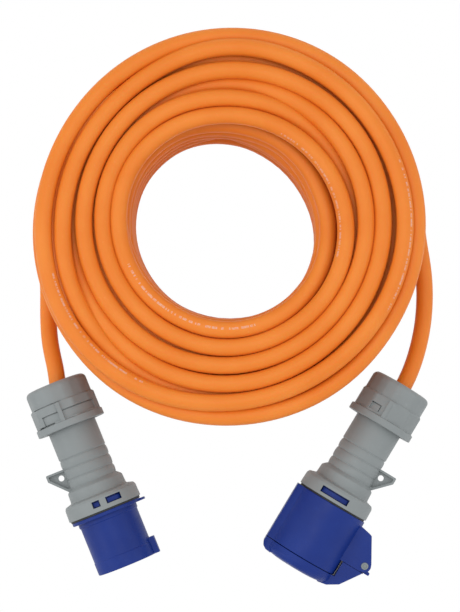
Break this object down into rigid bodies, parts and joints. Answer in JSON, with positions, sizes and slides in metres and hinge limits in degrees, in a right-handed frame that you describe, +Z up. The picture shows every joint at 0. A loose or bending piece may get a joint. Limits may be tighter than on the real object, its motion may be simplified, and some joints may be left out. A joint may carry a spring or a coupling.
{
  "type": "extension cord",
  "caption": "Coiled heavy-duty extension cord with an industrial round-pin plug on one end and a coupler with a sprung hinged lid on the other.",
  "frame": {"origin": "on the floor, at the middle of the rectangle round the plug and the coupler as they lie in front of the coil", "axes": "+X across, from the plug to the coupler; +Y from the connectors to the coil; +Z up"},
  "size_m": [0.2927, 0.3897, 0.08],
  "materials": {
    "cord_jacket": "satin polyurethane",
    "gray_plastic": "fine spark-eroded texture",
    "blue_plastic": "fine spark-eroded texture",
    "dark_plastic": "moulded",
    "black_rubber": "moulded",
    "brass": "turned, nickel-bright",
    "steel": "zinc-plated",
    "brown_insulation": "extruded",
    "light_blue_insulation": "extruded",
    "green_yellow_insulation": "extruded"
  },
  "bodies": {
    "cord": {"coil": "cord_jacket", "plug_tail": "cord_jacket", "coupler_tail": "cord_jacket", "plug_seal": "black_rubber", "plug_sheath": "cord_jacket", "plug_housing": "gray_plastic", "plug_gasket": "black_rubber", "plug_front": "blue_plastic", "plug_carrier": "dark_plastic", "plug_live_pin": "brass", "plug_neutral_pin": "brass", "plug_earth_pin": "brass", "plug_screws": "steel", "plug_live_core": "brown_insulation", "plug_neutral_core": "light_blue_insulation", "plug_earth_core": "green_yellow_insulation", "coupler_seal": "black_rubber", "coupler_sheath": "cord_jacket", "coupler_housing": "gray_plastic", "coupler_gasket": "black_rubber", "coupler_shell": "blue_plastic", "coupler_carrier": "dark_plastic", "coupler_face": "dark_plastic", "coupler_live_socket": "brass", "coupler_neutral_socket": "brass", "coupler_earth_socket": "brass", "coupler_clips": "steel", "coupler_screws": "steel", "coupler_live_core": "brown_insulation", "coupler_neutral_core": "light_blue_insulation", "coupler_earth_core": "green_yellow_insulation", "hinge_pin": "steel", "lid_spring": "steel"},
    "plug_clamp": {"plug_cage": "dark_plastic"},
    "plug_gland_nut": {"plug_nut": "gray_plastic"},
    "coupler_clamp": {"coupler_cage": "dark_plastic"},
    "coupler_gland_nut": {"coupler_nut": "gray_plastic"},
    "lid": {"lid": "blue_plastic", "lid_gasket": "black_rubber"}
  },
  "joints": [
    {"name": "lid_hinge", "type": "hinge", "parent": "cord", "child": "lid", "pos_m": [0.09724, -0.06183, 0.027], "axis": [0, 0, 1], "range_deg": [0, 105], "stiffness_Nm_per_rad": 0.03, "springref_deg": -51.57, "deforming": ["lid_spring"]},
    {"name": "plug_gland_travel", "type": "slide", "parent": "cord", "child": "plug_clamp", "axis": [-0.3746, 0.9272, 0], "range_m": [0, 0.006]},
    {"name": "plug_gland_turn", "type": "hinge", "parent": "plug_clamp", "child": "plug_gland_nut", "pos_m": [-0.11551, 0.04946, 0.027], "axis": [-0.3746, 0.9272, 0], "range_deg": [0, 720]},
    {"name": "coupler_gland_travel", "type": "slide", "parent": "cord", "child": "coupler_clamp", "axis": [0.515, 0.8572, 0], "range_m": [0, 0.006]},
    {"name": "coupler_gland_turn", "type": "hinge", "parent": "coupler_clamp", "child": "coupler_gland_nut", "pos_m": [0.1147, 0.04936, 0.027], "axis": [0.515, 0.8572, 0], "range_deg": [0, 720]}
  ],
  "couplings": [
    {"joint": "plug_gland_travel", "follows": "plug_gland_turn", "m_per_rad": 0.0004774},
    {"joint": "coupler_gland_travel", "follows": "coupler_gland_turn", "m_per_rad": 0.0004774}
  ]
}
